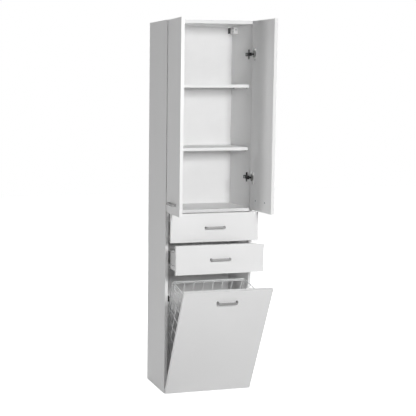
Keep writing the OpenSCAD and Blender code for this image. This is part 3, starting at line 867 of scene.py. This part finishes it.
INNER = 209
BOX_OUT = 196.5
SIDE_LOW = 4
SIDE_HIGH = 90
SHEET = 1.3
SIDE_BEND = 1.4
TRACK_BEND = 0.5
HEM_W = 4.5
HEM_H = 7
FLANGE_W = 13
TRACK_W = 9.5
RUNNER_LOW = 8
RUNNER_HIGH = 38
RUNNER_LIP = 10.5
RUNNER_SHEET = 1.2
RUNNER_BEND = 1.5
RUNNER_SCREW = (3.6, 1.4)
RUNNER_SCREW_DOWN = 8
RUNNER_SCREW_YS = (37, 133, 229)
RUNNER_START = 3
RUNNER_LEN = 240
ROLLER_R = 9
ROLLER_W = 6
ROLLER_SIDES = 48
AXLE_R = 2.5
AXLE_HEAD_R = 4
AXLE_HEAD_T = 0.8
AXLE_EASE = (0.4, 0.3)
AXLE_SUNK = 0.1
AXLE_SIDES = 24
AXLE_PLAY = 0.05
PLAY = 0.5
REST_GAP = 0.3
TAB_W = 18
TAB_LOW = 30
TAB_ARRIS = 0.2
TAB_POWER = 8
TAB_SCREW = (3.4, 1.6)
TAB_SCREW_X = 10
TAB_SCREW_ZS = (44, 68)
ROLLER_FROM_END = 1
TAB_UNDER_HEM = 1
SIDE_BACK = RUNNER_LEN - SEAM
ROLLER_Z = RUNNER_LOW + RUNNER_SHEET + ROLLER_R + REST_GAP
TRACK_Z = ROLLER_Z + ROLLER_R + REST_GAP
FRONT_AXLE_Y = RUNNER_START + ROLLER_R
REAR_AXLE_Y = SIDE_BACK - ROLLER_R - ROLLER_FROM_END

# Half of a roller's section, as radii and how far each lies in from the roller's side face
ROLLER_SECTION = [
    (AXLE_R + AXLE_PLAY, 0.3),
    (4.2, 0.3),
    (4.5, 1.3),
    (7.0, 1.3),
    (7.3, 0.3),
    (8.5, 0.1),
    (ROLLER_R, 0.7),
]


def axle(head_x, towards, y, sunk):
    """A roller's axle, from the outer face of its head, through the roller with its play, to
    where it is sunk into the sheet that holds it."""
    length = AXLE_HEAD_T + 2 * PLAY + ROLLER_W + sunk
    profile = [
        (0, 0),
        (AXLE_HEAD_R - AXLE_EASE[0], 0),
        (AXLE_HEAD_R, AXLE_EASE[1]),
        (AXLE_HEAD_R, AXLE_HEAD_T),
        (AXLE_R, AXLE_HEAD_T),
        (AXLE_R, length),
        (0, length),
    ]
    return turned(profile, (head_x, y, ROLLER_Z), towards * X_AXIS, Y_AXIS, AXLE_SIDES)


def folded_side():
    """A drawer side: one sheet with a rolled top hem, a wall and a flange under the base, a
    track folded out over the rollers, a tab behind the front, and the rear roller's axle."""
    half = SHEET / 2
    wall_x = half - BOX_OUT
    corners = [
        (HEM_W - half - BOX_OUT, SIDE_HIGH - HEM_H),
        (HEM_W - half - BOX_OUT, SIDE_HIGH - half),
        (wall_x, SIDE_HIGH - half),
        (wall_x, SIDE_LOW + half),
        (FLANGE_W - BOX_OUT, SIDE_LOW + half),
    ]
    start, end = (0, -SEAM, 0), (0, SIDE_BACK, 0)
    wall = folded(corners, SHEET, SIDE_BEND, start, end, X_AXIS, Z_AXIS)
    track_xs = (-BOX_OUT - TRACK_W, -BOX_OUT - TRACK_W / 2, -BOX_OUT + half)
    track_line = [(x, TRACK_Z + half) for x in track_xs]
    track = folded(track_line, SHEET, TRACK_BEND, (0, 0, 0), end, X_AXIS, Z_AXIS)
    lowest = (-BOX_OUT + half, TAB_LOW, 0)
    highest = (-BOX_OUT + TAB_W, SIDE_HIGH - HEM_H - TAB_UNDER_HEM, SHEET)
    points, faces = block(lowest, highest, TAB_ARRIS, TAB_POWER)
    tab = (points[:, [0, 2, 1]] - SEAM * Y_AXIS, faces)
    head_x = -BOX_OUT - 2 * PLAY - ROLLER_W - AXLE_HEAD_T
    feet = [(-BOX_OUT + TAB_SCREW_X, SHEET - SEAM, z) for z in TAB_SCREW_ZS]
    screws = [cross_head(foot, Y_AXIS, X_AXIS, TAB_SCREW) for foot in feet]
    return [wall, track, tab, axle(head_x, 1, REAR_AXLE_Y, half)], screws


def folded_runner():
    """A runner: a wall against the carcass and a lip that carries the rear roller, in one
    folded sheet, with the front roller's axle, and three screws through the wall."""
    half = RUNNER_SHEET / 2
    corners = [
        (half - INNER, RUNNER_HIGH),
        (half - INNER, RUNNER_LOW + half),
        (RUNNER_LIP - INNER, RUNNER_LOW + half),
    ]
    start, end = (0, RUNNER_START, 0), (0, RUNNER_START + RUNNER_LEN, 0)
    sheet = folded(corners, RUNNER_SHEET, RUNNER_BEND, start, end, X_AXIS, Z_AXIS)
    face_x = -INNER + RUNNER_SHEET
    head_x = face_x + 2 * PLAY + ROLLER_W + AXLE_HEAD_T
    feet = [(face_x, y, RUNNER_HIGH - RUNNER_SCREW_DOWN) for y in RUNNER_SCREW_YS]
    screws = [cross_head(foot, X_AXIS, Y_AXIS, RUNNER_SCREW) for foot in feet]
    return [sheet, axle(head_x, -1, FRONT_AXLE_Y, AXLE_SUNK)], screws


def turned_roller(x, y):
    """A nylon roller on its bore: a hub, a thinner web and a tread with eased edges."""
    profile = ROLLER_SECTION + [(r, ROLLER_W - inset) for r, inset in ROLLER_SECTION[::-1]]
    return turned(profile, (x, y, ROLLER_Z), X_AXIS, Y_AXIS, ROLLER_SIDES, closed=True)


for drawer in ("upper", "lower"):
    foot_z = low(f"drawer_front_{drawer}")[2]
    out_y = low(f"drawer_front_{drawer}")[1] - OUTER_Y
    fixed, moved = (
        [Bench((0, front_y, foot_z), side * X_AXIS, Y_AXIS, Z_AXIS) for side in (1, -1)]
        for front_y in (FRONT_Y, FRONT_Y + out_y)
    )
    for node, benches, parts in (
        (f"drawer_side_{drawer}_left", moved[:1], folded_side()),
        (f"drawer_side_{drawer}_right", moved[1:], folded_side()),
        (f"runners_{drawer}", fixed, folded_runner()),
    ):
        steel, screws = (on_benches(benches, shells) for shells in parts)
        body, slot = BODY_OF[node], SLOT_OF[node]
        make(f"{node}_folded", steel, DRAWER_FINISH, body, [node])
        make(f"{node}_screws", screws, ZINC_FINISH, body)
    for node, benches, x, y in (
        (f"runner_rollers_{drawer}", fixed, -INNER + RUNNER_SHEET + PLAY, FRONT_AXLE_Y),
        (f"drawer_rollers_{drawer}", moved, -BOX_OUT - PLAY - ROLLER_W, REAR_AXLE_Y),
    ):
        rollers = on_benches(benches, [turned_roller(x, y)])
        make(f"{node}_turned", rollers, WHITE_NYLON, BODY_OF[node], [node])


# Hangers in the top rear corners, and the stops that hold the hamper

softened("cabinet_hangers", "_moulded", WHITE_NYLON, arris=1.2 * MM, least=10 * MM)
softened("hanger_hooks", "_bent", HINGE_FINISH, arris=0.4 * MM, least=3 * MM)
softened("tilt_stops", "_moulded", BLACK_NYLON, arris=1.5 * MM, least=5 * MM)
HANGER_THICK = 21
HANGER_SCREW = (3.6, 1.4)
FRONT_SCREW_Z = 20
SIDE_SCREW_Y = 12
SIDE_SCREW_ZS = (10, 27)
STOP_THICK = 9.5
STOP_SCREW = (3.4, 0.9)
STOP_SCREW_YZ = (10, 14)


def at_corners(node, shells):
    """Shells drawn from a fitting's outer, front, lower corner, on the left and the right."""
    x, y, z = low(node)
    benches = [Bench((side * x, y, z), side * X_AXIS, Y_AXIS, Z_AXIS) for side in (1, -1)]
    return on_benches(benches, shells)


hanger_heads = [cross_head((HANGER_THICK / 2, 0, FRONT_SCREW_Z), -Y_AXIS, X_AXIS, HANGER_SCREW)]
for z in SIDE_SCREW_ZS:
    hanger_heads.append(cross_head((HANGER_THICK, SIDE_SCREW_Y, z), X_AXIS, Y_AXIS, HANGER_SCREW))
stop_heads = [cross_head((STOP_THICK, *STOP_SCREW_YZ), X_AXIS, Y_AXIS, STOP_SCREW)]
for name, fitting, heads in (
    ("hanger_screws", "cabinet_hangers", hanger_heads),
    ("stop_screws", "tilt_stops", stop_heads),
):
    make(name, at_corners(fitting, heads), ZINC_FINISH, "carcass")


# Wire basket, drawn upright and then leaned with the hamper. Wires that cross are welded a
# little into each other, which leaves their middles one CROSSING apart.

WIRE = 4 * MM
RIM_WIRE = 6 * MM
WIRE_SIDES = 10
WELD_SINK = 0.3 * MM
CROSSING = WIRE - WELD_SINK
LEVEL_HALF = 190 * MM
LEVEL_BACK = 90 * MM
LEVEL_FRONT = -134 * MM
UPRIGHT_HALF = LEVEL_HALF - CROSSING
UPRIGHT_BACK = LEVEL_BACK - CROSSING
UPRIGHT_FRONT = LEVEL_FRONT + CROSSING
FLOOR_Z = 61 * MM
LEVEL_STEP = 62 * MM
LEVELS = 8
UPRIGHT_STEP = 50 * MM
UPRIGHTS_ACROSS = 8
UPRIGHTS_ALONG = 4
FLOOR_WIRES = 7
RIM_FRONT_Z = 559 * MM
RIM_BACK_Z = 506 * MM
CORNER_CUT = 8 * MM
CORNER_X = 186 * MM


def rim_z(y):
    """Height of the rim, which falls in a straight line from the front to the back."""
    share = (y - UPRIGHT_FRONT) / (UPRIGHT_BACK - UPRIGHT_FRONT)
    return RIM_FRONT_Z + share * (RIM_BACK_Z - RIM_FRONT_Z)


def wire(path, radius=WIRE / 2, up=Z_AXIS, closed=False):
    """A round wire: a circle carried along a path."""
    return swept(np.asarray(path, float), radius * wheel(WIRE_SIDES), up, closed=closed)


def hoop(half, front, back, heights, radius, up):
    """A wire bent to a rectangle with rounded corners, at one height in front and one behind."""
    corners = [
        (-half, front, heights[0]),
        (half, front, heights[0]),
        (half, back, heights[1]),
        (-half, back, heights[1]),
    ]
    return wire(rounded_path(corners, CORNER_CUT, closed=True), radius, up, closed=True)


def centred(count, step):
    """Places at equal steps, with their middle at 0."""
    return (np.arange(count) - (count - 1) / 2) * step


def leaned(shells):
    """Shells of the closed hamper, leaned out to their place at rest."""
    return [(opened(points, "hamper_hinge"), faces) for points, faces in shells]


hoops = [
    hoop(LEVEL_HALF, LEVEL_FRONT, LEVEL_BACK, (z, z), WIRE / 2, Z_AXIS)
    for z in FLOOR_Z + LEVEL_STEP * np.arange(LEVELS)
]
along_side = LEVEL_BACK - UPRIGHT_STEP * np.arange(1, UPRIGHTS_ALONG + 1)
foot_z = FLOOR_Z - WIRE / 2
front_xs = (-CORNER_X, *centred(UPRIGHTS_ACROSS, UPRIGHT_STEP), CORNER_X)
upright_feet = [(x, y) for y in (UPRIGHT_FRONT, UPRIGHT_BACK) for x in front_xs]
upright_feet += [(x, y) for x in (-UPRIGHT_HALF, UPRIGHT_HALF) for y in along_side]
uprights = [
    wire(straight((x, y, foot_z), (x, y, rim_z(y))), up=X_AXIS) for x, y in upright_feet
]
floor_wires = []
for x in centred(FLOOR_WIRES, UPRIGHT_STEP):
    floor_wires.append(wire(straight((x, LEVEL_FRONT, FLOOR_Z), (x, LEVEL_BACK, FLOOR_Z))))
for y in along_side + UPRIGHT_STEP / 2:
    z = FLOOR_Z + CROSSING
    floor_wires.append(wire(straight((-CORNER_X, y, z), (CORNER_X, y, z))))
rim_rise = np.array([0, RIM_FRONT_Z - RIM_BACK_Z, UPRIGHT_BACK - UPRIGHT_FRONT])
rim = hoop(
    UPRIGHT_HALF,
    UPRIGHT_FRONT,
    UPRIGHT_BACK,
    (RIM_FRONT_Z, RIM_BACK_Z),
    RIM_WIRE / 2,
    rim_rise / np.linalg.norm(rim_rise),
)
make(
    "basket_cage",
    leaned(hoops + uprights),
    WIRE_FINISH,
    "hamper",
    ["basket_back", "basket_front", "basket_left", "basket_right"],
)
make("basket_bottom", leaned(floor_wires), WIRE_FINISH, "hamper", ["basket_floor"])
make("basket_top_rim", leaned([rim]), WIRE_FINISH, "hamper", ["basket_rim"])


# Floor, light and camera

WHITE = (1.0, 1.0, 1.0, 1.0)


def seen_ray(tree):
    """1 for a ray from the camera, or one that was mirrored or went through glass, else 0."""
    path = add(tree, "ShaderNodeLightPath").outputs
    rays = {0: path["Is Camera Ray"], 1: path["Is Glossy Ray"]}
    seen = add(tree, "ShaderNodeMath", rays, operation="MAXIMUM").outputs[0]
    rays = {0: seen, 1: path["Is Transmission Ray"]}
    return add(tree, "ShaderNodeMath", rays, operation="MAXIMUM").outputs[0]


def glowing_floor(name, colour, glow):
    """A pale floor that shines by itself for the camera and for what mirrors it, so that it
    ends white, while its diffuse part keeps the object's shadow."""
    constants = {
        "Base_Color": linear(colour),
        "Roughness": 0.9,
        "Specular_IOR_Level": 0.1,
        "Emission_Color": WHITE,
    }
    material, tree, shader = shaded(name, constants)
    strength = add(tree, "ShaderNodeMath", {0: seen_ray(tree), 1: glow}, operation="MULTIPLY")
    tree.links.new(strength.outputs[0], shader.inputs["Emission Strength"])
    return material


FLOOR_HALF = 9.0
FLOOR_DROP = 0.5 * MM
FLOOR_GLOW = 0.93
floor_mesh = bpy.data.meshes.new("studio_floor")
floor_corners = np.array([(-1, -1, 0), (1, -1, 0), (1, 1, 0), (-1, 1, 0)]) * FLOOR_HALF
floor_mesh.from_pydata((floor_corners - FLOOR_DROP * Z_AXIS).tolist(), [], [(0, 1, 2, 3)])
floor_mesh.materials.append(glowing_floor("white_floor", "#c2c2c2", FLOOR_GLOW))
floor = bpy.data.objects.new("studio_floor", floor_mesh)
bpy.context.scene.collection.objects.link(floor)

WORLD_LIGHT = 0.11
BACKGROUND_LIGHT = 1.0
world = bpy.data.worlds.new("studio")
bpy.context.scene.world = world
world.use_nodes = True
sky = world.node_tree
sky.nodes.clear()
sky_shades = {0: seen_ray(sky)}
for socket, strength in ((1, WORLD_LIGHT), (2, BACKGROUND_LIGHT)):
    shade = add(sky, "ShaderNodeBackground", {"Color": WHITE, "Strength": strength})
    sky_shades[socket] = shade.outputs[0]
mix = add(sky, "ShaderNodeMixShader", sky_shades)
add(sky, "ShaderNodeOutputWorld", {"Surface": mix.outputs[0]})


def panel_light(name, place, target, size, watts):
    """A square soft light at a place, facing a target."""
    lamp = bpy.data.lights.new(name, "AREA")
    lamp.size = size
    lamp.energy = watts
    lamp_object = bpy.data.objects.new(name, lamp)
    lamp_object.location = place
    aim = Vector(target) - Vector(place)
    lamp_object.rotation_euler = aim.to_track_quat("-Z", "Y").to_euler()
    bpy.context.scene.collection.objects.link(lamp_object)


# Each lamp has a place, a target, a width in metres and a power in watts.
panel_light("front_panel", (0.1, -4.6, 2.1), (0, 0, 0.9), 1.1, 133)
panel_light("left_panel", (-4.2, -1.15, 1.1), (0, 0, 0.9), 0.7, 40)
panel_light("rear_panel", (2.5, 3.6, 1.6), (0, 0, 0.9), 2.0, 125)
panel_light("overhead_panel", (0.4, 0.8, 4.9), (0, 0, 1.0), 1.6, 36)

# The camera stands left of the tower and above its middle. The shift stands for the
# photograph's upright, square-on picture plane, as far as the framing allows it.
CAMERA_PLACE = (-1.807, -4.779, 1.500)
CAMERA_YAW = 13.92
CAMERA_PITCH = 6.56
CAMERA_SHIFT = (0.31, -0.008)
FOCAL_PIXELS = 1018.9
IMAGE_PIXELS = 416
SENSOR_WIDTH = 36
camera = bpy.data.cameras.new("camera")
camera.sensor_width = SENSOR_WIDTH
camera.lens = FOCAL_PIXELS / IMAGE_PIXELS * SENSOR_WIDTH
camera.shift_x, camera.shift_y = CAMERA_SHIFT
camera_object = bpy.data.objects.new("camera", camera)
camera_object.location = CAMERA_PLACE
camera_object.rotation_euler = (math.radians(90 - CAMERA_PITCH), 0, math.radians(-CAMERA_YAW))
bpy.context.scene.collection.objects.link(camera_object)
bpy.context.scene.camera = camera_object
bpy.context.scene.view_settings.view_transform = "Standard"
